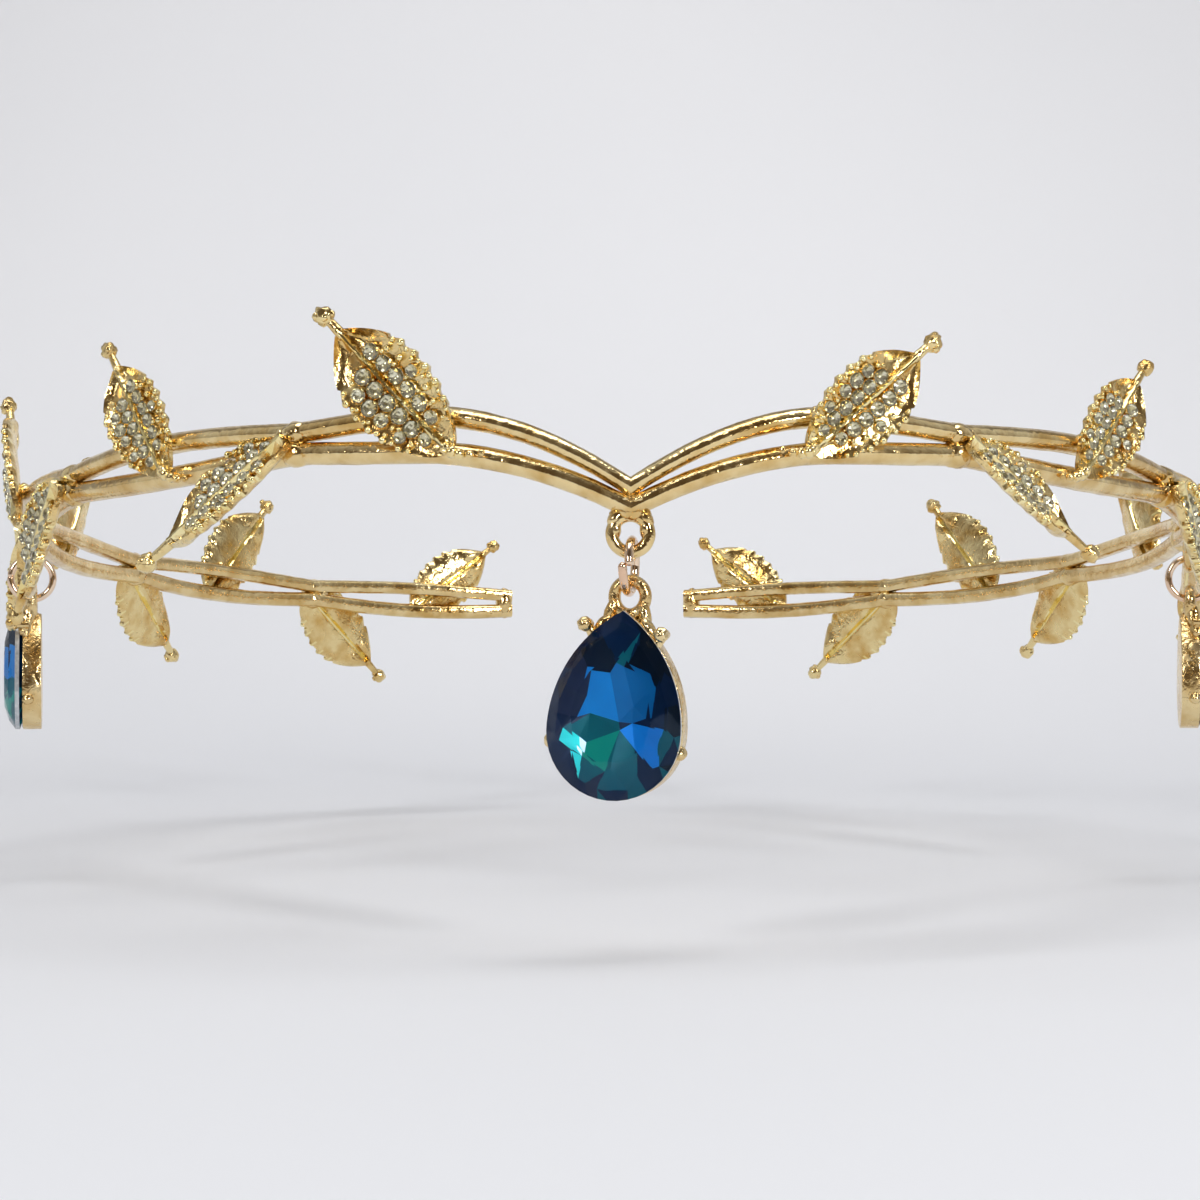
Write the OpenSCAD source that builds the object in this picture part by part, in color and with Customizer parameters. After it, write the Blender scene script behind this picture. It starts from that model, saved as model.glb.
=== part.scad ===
// Open leafy circlet: a two-strand vine with cast leaves, pavé stones and three hanging pears.
// Millimetres, +Z up. The front looks along -Y, and left and right are as seen from the front.
// The origin is the middle of the head opening, halfway between the front and the lower back.

/* [Band] */
// Width between the middles of the two sides
band_w = 144; // [138:1:165]
// Depth from the middle of the front to the open back
band_d = 172; // [160:1:190]
// How much lower the back hangs than the front
back_drop = 17; // [8:0.5:24]
// Opening between the two ends at the back
back_gap = 28; // [22:1:34]

/* [Vine] */
// Height of the upper strand
upper_w = 2; // [1.6:0.1:2.2]
// Height of the lower strand
lower_w = 2.2; // [1.8:0.1:2.6]
// Thickness of both strands from the head outwards
strand_depth = 2.4; // [2:0.1:3]
// Height between the strands' middles where they are soldered together
strand_gap = 2; // [1.8:0.1:2.4]
// How much further apart the strands bow between two knots
strand_bow = 1.5; // [1.2:0.1:2.6]
// Depth of the point at the middle of the front
front_dip = 6.6; // [5:0.2:9]

/* [Leaves] */
// Leaves on each side
leaf_count = 11; // [9:2:11]
// Length of a leaf's blade
leaf_len = 17; // [15:0.5:18]
// Width of a leaf's blade
leaf_w = 9.6; // [9:0.1:10]
// Thickness of a leaf's sheet
leaf_t = 0.8; // [0.7:0.05:1]
// Angle that each half of a leaf is folded outwards
leaf_fold = 10; // [6:1:14]
// Teeth on each edge of a leaf
leaf_teeth = 5; // [4:1:6]
// Diameter of the ball that ends the stalk
ball_d = 2.3; // [2:0.1:2.6]

/* [Pavé stones] */
// Diameter of a stone on a full-size leaf
pave_d = 1.6; // [1.4:0.05:1.65]
// Height of a stone above the leaf
pave_h = 0.75; // [0.6:0.05:0.9]

/* [Drops] */
// Width of the front stone
front_stone_w = 13; // [11:0.5:14]
// Height of the front stone
front_stone_h = 18; // [16:0.5:20]
// Width of a side stone
side_stone_w = 10; // [8:0.5:11]
// Height of a side stone
side_stone_h = 14; // [12:0.5:15]
// Angle that the front drop is turned on its ring
front_turn = -14; // [-25:1:25]
// Angle that the front drop hangs askew
front_lean = 5; // [-4:0.5:6]
// Outer diameter of an eyelet under the vine
eyelet_d = 4.8; // [4.4:0.1:5.2]
// Wire of an eyelet
eyelet_wire = 1.3; // [1.2:0.05:1.35]
// Outer diameter of a jump ring
ring_d = 5.8; // [5.5:0.1:6.2]
// Wire of a jump ring
ring_wire = 0.8; // [0.7:0.05:0.85]
// Outer diameter of the bail on a setting
bail_d = 4.2; // [4.1:0.1:4.6]
// Wire of the bail
bail_wire = 1.2; // [1:0.05:1.25]

/* [Hidden] */

// Places around the band are angles from the middle of the front, the same on both sides
half_w = band_w / 2;
half_d = band_d / 2;
end_at = 180 - asin(back_gap / 2 / half_w);
leaf_step = 14.4;
first_leaf = 12.4;
first_knot = first_leaf + leaf_step;
knot_step = 2 * leaf_step;
dip_span = 17;
dip_power = 1.95;
strand_step = 5.76;
overlap_at = 1;
side_drop_at = 78;

// Section of a strand: outward and upward, in parts of its thickness and height
STRAND = [[0.55, 0.12], [0.2, 0.5], [-0.45, 0.42], [-0.45, -0.42], [0.2, -0.5], [0.55, -0.15]];
knot_back_d = 2.9;
knot_front_d = 2.1;
knot_depth = 3;
knot_out = 0.1;
front_knot = 0.8;

// One row per leaf from the front: pitch on the left and on the right, outward lean, size on the left
// and on the right, shift along the band, turn to the front on the left and on the right, length of the
// stalk, roll about the vein on the left and on the right. A leaf with a positive pitch rises from the
// lower strand, the others hang from a knot.
LEAVES = [
    [46, 40, 4, 0.95, 0.86, 1, 0, 0, 2.2, 0, 0],
    [-36, -36, 12, 1.0, 0.9, 0, 0, 0, 3.4, 28, 28],
    [54, 46, -6, 0.82, 0.82, -2, 12, 12, 2.4, 0, 0],
    [-47, -45, 6, 1.0, 1.0, 0, 0, 0, 3.0, 0, 0],
    [50, 48, 4, 0.95, 0.95, 0, 0, 0, 2.4, 0, 0],
    [-42, -44, 8, 1.0, 1.0, 0, 0, 0, 3.0, 0, 0],
    [46, 48, 5, 1.0, 1.0, 0, 0, 0, 2.0, 0, 0],
    [-40, -38, 8, 1.0, 1.0, 0, 0, 0, 3.0, 0, 0],
    [44, 45, 5, 1.0, 1.0, 0, 0, 0, 2.0, 0, 0],
    [-42, -40, 8, 1.0, 1.0, 0, 0, 0, 3.0, 0, 0],
    [36, 38, 4, 0.9, 0.9, 0, 0, 0, 2.0, 0, 0]];

// Where a leaf's middle line lies off the strands, and how wide it is along its length
leaf_off = 1.9;
apex_lift = 0.2;
aim_part = 0.3;
widest_at = 0.55;
swell_power = 0.8;
taper_power = 2;
teeth_from = 0.16;
teeth_to = 0.74;
tooth_in = 0.86;
tooth_out = 1.04;
tooth_skew = 0.3;
shoulder_at = 0.79;
apex_half = 0.45;
vein_half = 0.3;
vein_h = 0.5;

// The stalk and its ball, and how deep the stalk starts inside the blade
stalk_half = 0.55;
stalk_d = 0.84;
stalk_in = 0.4;
stalk_low = 0.18;
ball_from = 0.8;
ball_to = 0.85;
ball_end = 0.5;

// One row per stone: part of the blade's length from its apex, distance from the vein, and the half of
// a left leaf that it lies on. The right leaves come from the same mould, so theirs is the other half.
SEATS = [
    [0.325, 1.35, 1], [0.435, 1.45, 1], [0.545, 1.5, 1], [0.655, 1.45, 1], [0.765, 1.3, 1],
    [0.255, 1.3, -1], [0.365, 1.3, -1], [0.475, 1.3, -1], [0.585, 1.3, -1], [0.695, 1.3, -1],
    [0.53, 3.0, -1]];
pave_sides = 8;
pave_table = 0.6;
pave_lift = 0.08;

// Drops: depth of an eyelet below the lower strand's middle, and the running gap between links
eyelet_below = 2.4;
link_gap = 0.12;
ring_open = 10;
tip_lift = 0.73;

// The stone, in millimetres and in parts of its width; its front edge hangs ahead of the bail
ahead_part = 0.19;
girdle_h = 0.5;
crown_part = 0.13;
pavilion_part = 0.16;
hub_part = 0.12;

// The cup behind the girdle, and the neck that joins it to the bail
cup_part = 1;
cup_wall = 0.5;
cup_seat = 0.33;
cup_room = 0.2;
cup_floor = 0.45;
neck_d = 1.8;
neck_len = 1.6;

// One row per claw: part of the way round from the tip, distance outside the stone, ball behind the
// girdle's front edge, length of its pin
claw_d = 0.9;
claw_ball_d = 1.45;
claw_in = 0.15;
CLAWS = [[0.08, 1.1, -0.35, 1.95], [0.34, 0.35, 1.5, 0.6], [0.66, 0.35, 1.5, 0.6],
    [0.92, 1.1, -0.35, 1.95]];

function unit(v) = v / norm(v);
function outward(at) = unit([half_d * sin(at), -half_w * cos(at), 0]);
function along(at) = unit([half_w * cos(at), half_d * sin(at), 0]);
function mid_z(at) =
    back_drop / 2 * cos(at) - front_dip * pow(max(0, 1 - at / dip_span), dip_power);
function lens(at) = at < first_knot ? at / first_knot : (at - first_knot) / knot_step;
function spread(at) = strand_gap + strand_bow * abs(sin(180 * lens(at)));
function on_band(at, out, up) =
    [half_w * sin(at), -half_d * cos(at), mid_z(at) + up] + out * outward(at);

// The faces between n-sided rings of a loft whose rings follow each other in one point list
function loft_sides(n, rings) = [for (r = [0 : rings - 2], i = [0 : n - 1])
    [r * n + i, r * n + (i + 1) % n, (r + 1) * n + (i + 1) % n, (r + 1) * n + i]];
function turned_over(faces) = [for (f = faces) [for (i = [len(f) - 1 : -1 : 0]) f[i]]];
function halved(quads) = [for (q = quads, h = [0, 1]) h == 0 ? [q[0], q[1], q[2]] : [q[0], q[2], q[3]]];

// One strand of the right half; level is 1 for the upper strand and -1 for the lower
module strand(level, height) {
    n = len(STRAND);
    stations = ceil((end_at + overlap_at) / strand_step);
    angles = [for (i = [0 : stations]) -overlap_at + i * (end_at + overlap_at) / stations];
    points = [for (at = angles, p = STRAND)
        on_band(at, p[0] * strand_depth, level * spread(at) / 2 + p[1] * height)];
    last = stations * n;
    caps = [[for (i = [n - 1 : -1 : 0]) i], [for (i = [0 : n - 1]) last + i]];
    polyhedron(points, concat(caps, halved(loft_sides(n, stations + 1))));
}

// The lump of solder and cast metal where the two strands meet
module knot(at, size = 1) {
    hull() {
        for (level = [1, -1])
            translate(on_band(at, knot_out, level * spread(at) / 2))
                rotate([90, 0, turn_at(at)]) cylinder(d1 = size * knot_back_d,
                    d2 = size * knot_front_d, h = size * knot_depth, center = true, $fn = 6);
    }
}

// A leaf's frame: apex, direction of its vein, direction across it and direction of its face.
// side is -1 for the row's left values and 1 for the right ones; both are drawn on the right.
function leaf_at(k) = first_leaf + k * leaf_step + LEAVES[k][5];
function leaf_rise(k) = LEAVES[k][0] > 0 ? 1 : -1;
function leaf_size(k, side) = LEAVES[k][side < 0 ? 3 : 4];
function leaf_apex(k) = let (at = leaf_at(k), up = leaf_rise(k))
    on_band(at, leaf_off, apex_lift - (up > 0 ? spread(at) / 2 : 0));
function leaf_basis(k, side) = let (
        pitch = abs(LEAVES[k][side < 0 ? 0 : 1]),
        mid = leaf_at(k) + leaf_step * aim_part - LEAVES[k][side < 0 ? 6 : 7],
        lean = LEAVES[k][2],
        rise = [0, 0, leaf_rise(k) * cos(lean)] + sin(lean) * outward(mid),
        face = cos(lean) * outward(mid) - [0, 0, leaf_rise(k) * sin(lean)],
        cross_to = -sin(pitch) * along(mid) + cos(pitch) * rise,
        roll = LEAVES[k][side < 0 ? 9 : 10])
    [cos(pitch) * along(mid) + sin(pitch) * rise,
        cos(roll) * cross_to + sin(roll) * face, cos(roll) * face - sin(roll) * cross_to];
function leaf_point(k, side, u, v, m) = let (b = leaf_basis(k, side))
    leaf_apex(k) + leaf_size(k, side) * (u * b[0] + v * b[1] + m * b[2]);

// Half width of the blade at x, the part of its length from the apex
function blade_half(x) = x < widest_at
    ? leaf_w / 2 * pow(sin(90 * x / widest_at), swell_power)
    : leaf_w / 2 - (leaf_w / 2 - stalk_half) * pow((x - widest_at) / (1 - widest_at), taper_power);
function tooth_at(i) = teeth_from + i * (teeth_to - teeth_from) / leaf_teeth;
function blade_edge() = let (pitch = (teeth_to - teeth_from) / leaf_teeth) concat(
    [[0, apex_half]],
    [for (i = [0 : leaf_teeth - 1], out = [0, 1]) let (x = tooth_at(i) + out * tooth_skew * pitch)
        [x * leaf_len, blade_half(x) * (out == 1 ? tooth_out : tooth_in)]],
    [[shoulder_at * leaf_len, blade_half(shoulder_at)], [leaf_len, stalk_half]]);

// The blade: a sheet folded along its vein, with toothed edges and a raised vein
module blade(k, side) {
    edge = blade_edge();
    n = len(edge);
    fold = tan(leaf_fold);
    flat = concat(
        [for (half = [1, -1], e = edge) [e[0], half * e[1], fold * e[1]]],
        [for (half = [1, -1], e = edge) [e[0], half * e[1], fold * e[1] - leaf_t]],
        [for (half = [1, -1], u = [0, leaf_len]) [u, half * vein_half, fold * vein_half]],
        [for (u = [0, leaf_len]) [u, 0, vein_h]],
        [for (u = [0, leaf_len]) [u, 0, -leaf_t]]);
    foot = 4 * n;
    crest = foot + 4;
    keel = crest + 2;
    top_right = concat([foot], [foot + 1], [for (i = [n - 1 : -1 : 0]) i]);
    top_left = concat([foot + 3], [foot + 2], [for (i = [0 : n - 1]) n + i]);
    under_right = concat([keel + 1, keel], [for (i = [0 : n - 1]) 2 * n + i]);
    under_left = concat([keel, keel + 1], [for (i = [n - 1 : -1 : 0]) 3 * n + i]);
    rims = [for (i = [0 : n - 2], half = [0, 1]) let (a = half * n + i, c = a + 2 * n)
        half == 0 ? [a, a + 1, c + 1, c] : [a + 1, a, c, c + 1]];
    apex_cap = [0, 2 * n, keel, 3 * n, n, foot + 2, crest, foot];
    stalk_cap = [n - 1, foot + 1, crest + 1, foot + 3, 2 * n - 1, 4 * n - 1, keel + 1, 3 * n - 1];
    faces = concat([top_right, top_left, under_right, under_left, apex_cap, stalk_cap],
        [[foot, crest, crest + 1, foot + 1], [crest, foot + 2, foot + 3, crest + 1]], rims);
    polyhedron([for (p = flat) leaf_point(k, side, p[0], p[1], p[2])],
        leaf_rise(k) > 0 ? turned_over(faces) : faces);
}

// The stalk past the blade, turned in one with the ball that ends it
module stalk(k, side) {
    n = 6;
    tip = leaf_len + LEAVES[k][8] / leaf_size(k, side);
    ball = ball_d / 2;
    rings = [[leaf_len - stalk_in, stalk_d / 2], [tip - ball_from * ball, stalk_d / 2], [tip, ball],
        [tip + ball_to * ball, ball_end * ball]];
    points = [for (r = rings, i = [0 : n - 1])
        leaf_point(k, side, r[0], r[1] * cos(360 * i / n), r[1] * sin(360 * i / n) - stalk_low)];
    last = (len(rings) - 1) * n;
    caps = [[for (i = [n - 1 : -1 : 0]) i], [for (i = [0 : n - 1]) last + i]];
    faces = concat(caps, loft_sides(n, len(rings)));
    polyhedron(points, leaf_rise(k) > 0 ? turned_over(faces) : faces);
}

// An eyelet's or a link's wire ring, standing in the local X-Z plane
module wire_ring(outer_d, wire, round_sides, wire_sides) {
    rotate([90, 0, 0])
        rotate_extrude($fn = round_sides)
            translate([(outer_d - wire) / 2, 0]) circle(d = wire, $fn = wire_sides);
}

// The place of a drop: middle of its eyelet, with local -Y facing outwards
function turn_at(at) = atan2(half_d * sin(at), half_w * cos(at));
function eyelet_middle(at) = on_band(at, 0, -spread(at) / 2 - eyelet_below);
module at_drop(at, side) {
    middle = eyelet_middle(at);
    translate([side * middle[0], middle[1], middle[2]]) rotate([0, 0, side * turn_at(at)]) children();
}

module vine_side(side) {
    strand(1, upper_w);
    strand(-1, lower_w);
    for (at = [first_knot : knot_step : end_at - knot_step / 2]) knot(at);
    knot(end_at - overlap_at);
    for (k = [0 : leaf_count - 1]) {
        blade(k, side);
        stalk(k, side);
    }
}

module vine() {
    color("goldenrod") {
        vine_side(1);
        mirror([1, 0, 0]) vine_side(-1);
        knot(0, front_knot);
        for (place = [[0, 1], [side_drop_at, -1], [side_drop_at, 1]])
            at_drop(place[0], place[1]) wire_ring(eyelet_d, eyelet_wire, 12, 5);
    }
}

// All pavé stones of one side, each an eight-sided cut stone with a table, clear of its neighbours
module leaf_stones(side) {
    n = pave_sides;
    rings = [[pave_d / 2, pave_lift], [pave_table * pave_d / 2, pave_lift + pave_h]];
    fold = leaf_fold;
    points = [for (k = [0 : leaf_count - 1], seat = SEATS, r = rings, i = [0 : n - 1])
        let (
            u = seat[0] * leaf_len + r[0] * cos(360 * (i + 0.5) / n),
            v = seat[1] + r[0] * sin(360 * (i + 0.5) / n))
        leaf_point(k, side, u,
            -side * seat[2] * (v * cos(fold) - r[1] * sin(fold)), v * sin(fold) + r[1] * cos(fold))];
    bottom = [for (i = [n - 1 : -1 : 0]) i];
    table = [for (i = [0 : n - 1]) n + i];
    faces = concat([bottom, table], halved(loft_sides(n, 2)));
    count = leaf_count * len(SEATS);
    polyhedron(points, [for (s = [0 : count - 1], f = faces) let (
            k = floor(s / len(SEATS)),
            over = -side * leaf_rise(k) * SEATS[s % len(SEATS)][2] > 0,
            face = over ? turned_over([f])[0] : f)
        [for (i = face) s * 2 * n + i]]);
}
module leaf_stones_left() {
    color("gainsboro") mirror([1, 0, 0]) leaf_stones(-1);
}
module leaf_stones_right() {
    color("gainsboro") leaf_stones(1);
}

// Heights in a drop, from the middle of its eyelet
ring_top_in = -(eyelet_d - eyelet_wire) / 2 + eyelet_wire / 2 + link_gap;
ring_middle = ring_top_in - (ring_d / 2 - ring_wire);
ring_foot = ring_middle - (ring_d - ring_wire) / 2;
bail_middle = ring_foot + ring_wire / 2 + link_gap - (bail_d / 2 - bail_wire);
tip_z = bail_middle - bail_d / 2 + tip_lift;

// A jump ring: a round wire bent round, with its ends nearly closed at the front
module jump_ring() {
    translate([0, 0, ring_middle])
        rotate([90, 0, 90])
            rotate([0, 0, 180 + ring_open / 2])
                rotate_extrude(angle = 360 - ring_open, $fn = 64)
                    translate([(ring_d - ring_wire) / 2, 0]) circle(d = ring_wire, $fn = 24);
}

// A pear's outline at f, the part of the way round from its tip: two long arcs and a half circle.
// The widest level lies at height 0, after the first five sixteenths of the way.
LONG_PART = 5 / 16;
function pear(f, w, h) = let (
        up = h - w / 2,
        long = (up * up + w * w / 4) / w,
        side = f > 0.5 ? -1 : 1,
        g = f > 0.5 ? 1 - f : f,
        turn = g < LONG_PART
            ? asin(up / long) * (1 - g / LONG_PART)
            : -90 * (g - LONG_PART) / (0.5 - LONG_PART))
    g < LONG_PART
        ? [side * (w / 2 - long + long * cos(turn)), long * sin(turn)]
        : [side * w / 2 * cos(turn), w / 2 * sin(turn)];

// A pear outline shrunk by a factor round a point a little above its widest level
function pear_ring(n, w, h, part, shift = 0) = let (hub = hub_part * h)
    [for (i = [0 : n - 1]) let (p = pear((i + shift) / n, w, h))
        [part * p[0], hub + part * (p[1] - hub)]];

// The stone: table, crown facets, girdle and a pavilion that ends in a small culet. One row per
// outline: its size, its shift in facets, and its level from the table (-1) over the girdle (0 to 1)
// to the culet (2).
STONE_RINGS = [[0.56, 0, -1], [0.82, 0.5, -0.62], [1, 0, 0], [1, 0, 1], [0.58, 0.5, 1.5], [0.12, 0, 2]];
function level_y(level, w) =
    level < 0 ? level * crown_part * w
    : level <= 1 ? level * girdle_h
    : girdle_h + (level - 1) * pavilion_part * w;
module pear_stone(w, h) {
    n = 16;
    points = [for (r = STONE_RINGS, p = pear_ring(n, w, h, r[0], r[1])) [p[0], level_y(r[2], w), p[1]]];
    count = len(STONE_RINGS);
    // an outline shifted by half a facet meets its neighbours in triangles
    sides = [for (r = [0 : count - 2], i = [0 : n - 1], half = [0, 1]) let (
            a = r * n + i,
            b = r * n + (i + 1) % n,
            c = (r + 1) * n + i,
            d = (r + 1) * n + (i + 1) % n,
            ahead = STONE_RINGS[r + 1][1] >= STONE_RINGS[r][1])
        ahead ? (half == 0 ? [a, b, c] : [b, d, c]) : (half == 0 ? [a, d, c] : [a, b, d])];
    table = [for (i = [n - 1 : -1 : 0]) i];
    culet = [for (i = [0 : n - 1]) (count - 1) * n + i];
    polyhedron(points, turned_over(concat([table, culet], sides)));
}

// A pear-shaped block whose front face lies at y
module pear_block(w, h, part, y, depth) {
    translate([0, y + depth, 0]) rotate([90, 0, 0])
        linear_extrude(depth) polygon(pear_ring(32, w, h, part));
}

// A claw: a ball on a pin that runs back, tied to the cup by a short arm
module claw(row, w, h) {
    rim = pear(row[0], w, h);
    place = pear(row[0], w + 2 * row[1], h + 2 * row[1]);
    away = place - rim;
    translate([place[0], row[2], place[1]]) {
        sphere(d = claw_ball_d, $fn = 24);
        rotate([-90, 0, 0]) cylinder(d = claw_d, h = row[3], $fn = 24);
        translate([0, row[3] - claw_d / 2, 0]) rotate([0, atan2(-away[0], -away[1]), 0])
            cylinder(d = claw_d, h = norm(away) + claw_in, $fn = 24);
    }
}

// The setting: a closed cup behind the girdle, four claws with balls, and the bail
module pear_setting(w, h) {
    back = girdle_h + cup_seat;
    room = pavilion_part * w + cup_room;
    translate([0, stone_y(w), widest_z(w, h)]) {
        difference() {
            pear_block(w, h, cup_part, back, room + cup_floor);
            pear_block(w, h, cup_part - 2 * cup_wall / w, back - 1, room + 1);
        }
        for (row = CLAWS) claw(row, w, h);
    }
    translate([0, 0, bail_middle]) wire_ring(bail_d, bail_wire, 48, 24);
    translate([0, -neck_len / 2, bail_middle - bail_d / 2]) rotate([-90, 0, 0])
        cylinder(d = neck_d, h = neck_len, $fn = 24);
}
function stone_y(w) = -ahead_part * w;
function widest_z(w, h) = tip_z - (h - w / 2);

module drop_stone(w, h) {
    translate([0, stone_y(w), widest_z(w, h)]) pear_stone(w, h);
}

// The front drop's turn and lean, round the lowest point of its ring
module front_hung() {
    translate([0, 0, ring_foot]) rotate([0, front_lean, front_turn]) translate([0, 0, -ring_foot])
        children();
}

module front_ring() {
    color("gold") at_drop(0, 1) jump_ring();
}
module front_setting() {
    color("goldenrod") at_drop(0, 1) front_hung() pear_setting(front_stone_w, front_stone_h);
}
module front_stone() {
    color("midnightblue") at_drop(0, 1) front_hung() drop_stone(front_stone_w, front_stone_h);
}
module side_ring(side) {
    color("gold") at_drop(side_drop_at, side) jump_ring();
}
module side_setting(side) {
    color("goldenrod") at_drop(side_drop_at, side) pear_setting(side_stone_w, side_stone_h);
}
module side_stone(side) {
    color("midnightblue") at_drop(side_drop_at, side) drop_stone(side_stone_w, side_stone_h);
}

vine();
leaf_stones_left();
leaf_stones_right();
front_ring();
front_setting();
front_stone();
side_ring(-1);  // left_ring
side_setting(-1);  // left_setting
side_stone(-1);  // left_stone
side_ring(1);  // right_ring
side_setting(1);  // right_setting
side_stone(1);  // right_stone
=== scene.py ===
"""An open leafy circlet in pale gold, set with small clear stones and hung with blue pear drops.

Pieces are shaped in millimetres, and each finished mesh is brought to metres in the part's own frame.
"""
from math import asin, atan2, cos, degrees, hypot, pi, radians, sin, tan

import bmesh
import bpy
from mathutils import Matrix, Vector, noise
from mathutils.geometry import delaunay_2d_cdt


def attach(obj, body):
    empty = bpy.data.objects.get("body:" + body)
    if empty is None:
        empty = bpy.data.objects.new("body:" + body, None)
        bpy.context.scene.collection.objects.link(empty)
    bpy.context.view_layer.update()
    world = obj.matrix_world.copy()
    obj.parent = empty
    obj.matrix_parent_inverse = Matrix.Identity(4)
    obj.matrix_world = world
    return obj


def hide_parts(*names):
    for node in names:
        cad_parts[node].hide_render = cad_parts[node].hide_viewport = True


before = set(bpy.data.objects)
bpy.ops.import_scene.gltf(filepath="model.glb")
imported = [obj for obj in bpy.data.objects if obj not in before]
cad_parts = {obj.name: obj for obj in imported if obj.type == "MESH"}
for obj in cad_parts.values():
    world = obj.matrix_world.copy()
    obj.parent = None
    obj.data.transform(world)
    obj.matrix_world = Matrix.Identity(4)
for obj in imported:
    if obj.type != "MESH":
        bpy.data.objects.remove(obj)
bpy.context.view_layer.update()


# The two strands
# Two wires run side by side round the head, bow apart into long narrow eyes and meet at knots. They dip
# to a point at the middle of the front and slope down to the open back. Like all the castings, they are
# white metal, polished and plated in pale champagne gold.
HALF_W, HALF_D = 72.0, 86.0
BACK_DROP, BACK_GAP, FRONT_DIP = 17.0, 28.0, 6.6
DIP_SPAN, DIP_POWER = 17.0, 1.95
STRAND_GAP, STRAND_BOW = 2.0, 1.5
STRAND_DEPTH, UPPER_H, LOWER_H = 2.4, 2.0, 2.2
LEAF_STEP, FIRST_LEAF = 14.4, 12.4
FIRST_KNOT, KNOT_STEP = FIRST_LEAF + LEAF_STEP, 2 * LEAF_STEP
END_AT = 180 - degrees(asin(BACK_GAP / 2 / HALF_W))
STATIONS, UNEVEN = 250, 1.6
# outward and upward, in parts of the depth and the height: a ridge in front, a broad upper face
SECTION = [
    (0.56, 0.05), (0.56, -0.05), (0.43, -0.29), (0.2, -0.47), (-0.14, -0.5), (-0.38, -0.41),
    (-0.45, -0.2), (-0.45, 0.2), (-0.39, 0.37), (-0.14, 0.49), (0.2, 0.5), (0.44, 0.31)]


def mid_z(at):
    """The height of the band's middle, at degrees round from the front."""
    dip = FRONT_DIP * max(0.0, 1 - at / DIP_SPAN) ** DIP_POWER
    return BACK_DROP / 2 * cos(radians(at)) - dip


def spread(at):
    """How far apart the strands' middles are."""
    lens = at / FIRST_KNOT if at < FIRST_KNOT else (at - FIRST_KNOT) / KNOT_STEP
    return STRAND_GAP + STRAND_BOW * abs(sin(pi * lens))


def outward(at, side=1):
    return Vector((side * HALF_D * sin(radians(at)), -HALF_W * cos(radians(at)), 0)).normalized()


def along(at, side=1):
    return Vector((side * HALF_W * cos(radians(at)), HALF_D * sin(radians(at)), 0)).normalized()


def on_band(at, out, up, side=1):
    """A point out from and up from the band's middle; side is -1 for the left half and 1 for the right."""
    place = Vector((side * HALF_W * sin(radians(at)), -HALF_D * cos(radians(at)), mid_z(at) + up))
    return place + out * outward(at, side)


def cast_ripple(point, size=0.07, pitch=0.55):
    return size * noise.noise(point * pitch)


def section_at(station, level, height):
    """The corners of a strand's section at one station; level is 1 for the upper strand, -1 for the lower."""
    at = -END_AT + 2 * END_AT * station / STATIONS
    side = 1 if at >= 0 else -1
    middle = level * spread(abs(at)) / 2
    places = []
    for out, up in SECTION:
        point = on_band(abs(at), out * STRAND_DEPTH, middle + up * height, side)
        swell = cast_ripple(point + Vector((0, 0, 20 * level))) + cast_ripple(point, 0.03, 1.7)
        places.append(point + (out * outward(abs(at), side) + Vector((0, 0, up))) * UNEVEN * swell)
    return places


def corners_of(geom):
    return [g for g in geom if isinstance(g, bmesh.types.BMVert)]


def run_strand(mesh, level, height):
    """Draws the section along the band from one end to the other, and closes both ends."""
    ring = [mesh.verts.new(place) for place in section_at(0, level, height)]
    edges = [mesh.edges.new(pair) for pair in zip(ring, ring[1:] + ring[:1])]
    mesh.faces.new(ring)
    for station in range(1, STATIONS + 1):
        grown = bmesh.ops.extrude_edge_only(mesh, edges=edges)["geom"]
        by_old = {}
        for vert in corners_of(grown):
            for edge in vert.link_edges:
                if edge.other_vert(vert) in ring:
                    by_old[edge.other_vert(vert)] = vert
        ring = [by_old[v] for v in ring]
        for vert, place in zip(ring, section_at(station, level, height)):
            vert.co = place
        edges = [mesh.edges.get(pair) for pair in zip(ring, ring[1:] + ring[:1])]
    mesh.faces.new(ring)


def new_group(name, sockets_in, sockets_out):
    group = bpy.data.node_groups.new(name, "ShaderNodeTree")
    for label, kind, value in sockets_in:
        socket = group.interface.new_socket(name=label, in_out="INPUT", socket_type=kind)
        socket.default_value = value
    for label, kind in sockets_out:
        group.interface.new_socket(name=label, in_out="OUTPUT", socket_type=kind)
    return group


def add_node(tree, kind, **settings):
    node = tree.nodes.new(kind)
    for key, value in settings.items():
        if key in node.inputs.keys():
            node.inputs[key].default_value = value
        else:
            setattr(node, key, value)
    return node


# the skin of a casting: the slight ripples of the mould, and plate that turns a warm amber in random patches
cast_skin = new_group(
    "cast_skin",
    [("Pale", "NodeSocketColor", (0.9, 0.72, 0.45, 1)), ("Warm", "NodeSocketColor", (0.75, 0.45, 0.2, 1)),
     ("Ripple", "NodeSocketFloat", 0.3), ("Smooth", "NodeSocketFloat", 0.12),
     ("Rough", "NodeSocketFloat", 0.3)],
    [("Color", "NodeSocketColor"), ("Roughness", "NodeSocketFloat"), ("Normal", "NodeSocketVector")])
skin_in = cast_skin.nodes.new("NodeGroupInput")
skin_out = cast_skin.nodes.new("NodeGroupOutput")
where = add_node(cast_skin, "ShaderNodeTexCoord")
patches = add_node(cast_skin, "ShaderNodeTexNoise", Scale=260.0, Detail=3.0, Roughness=0.55)
ripples = add_node(cast_skin, "ShaderNodeTexNoise", Scale=950.0, Detail=2.0, Roughness=0.5, Distortion=0.6)
grain = add_node(cast_skin, "ShaderNodeTexNoise", Scale=5200.0, Detail=2.0)
tone = add_node(cast_skin, "ShaderNodeMapRange", **{"From Min": 0.4, "From Max": 0.68})
hue = add_node(cast_skin, "ShaderNodeMix", data_type="RGBA")
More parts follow.
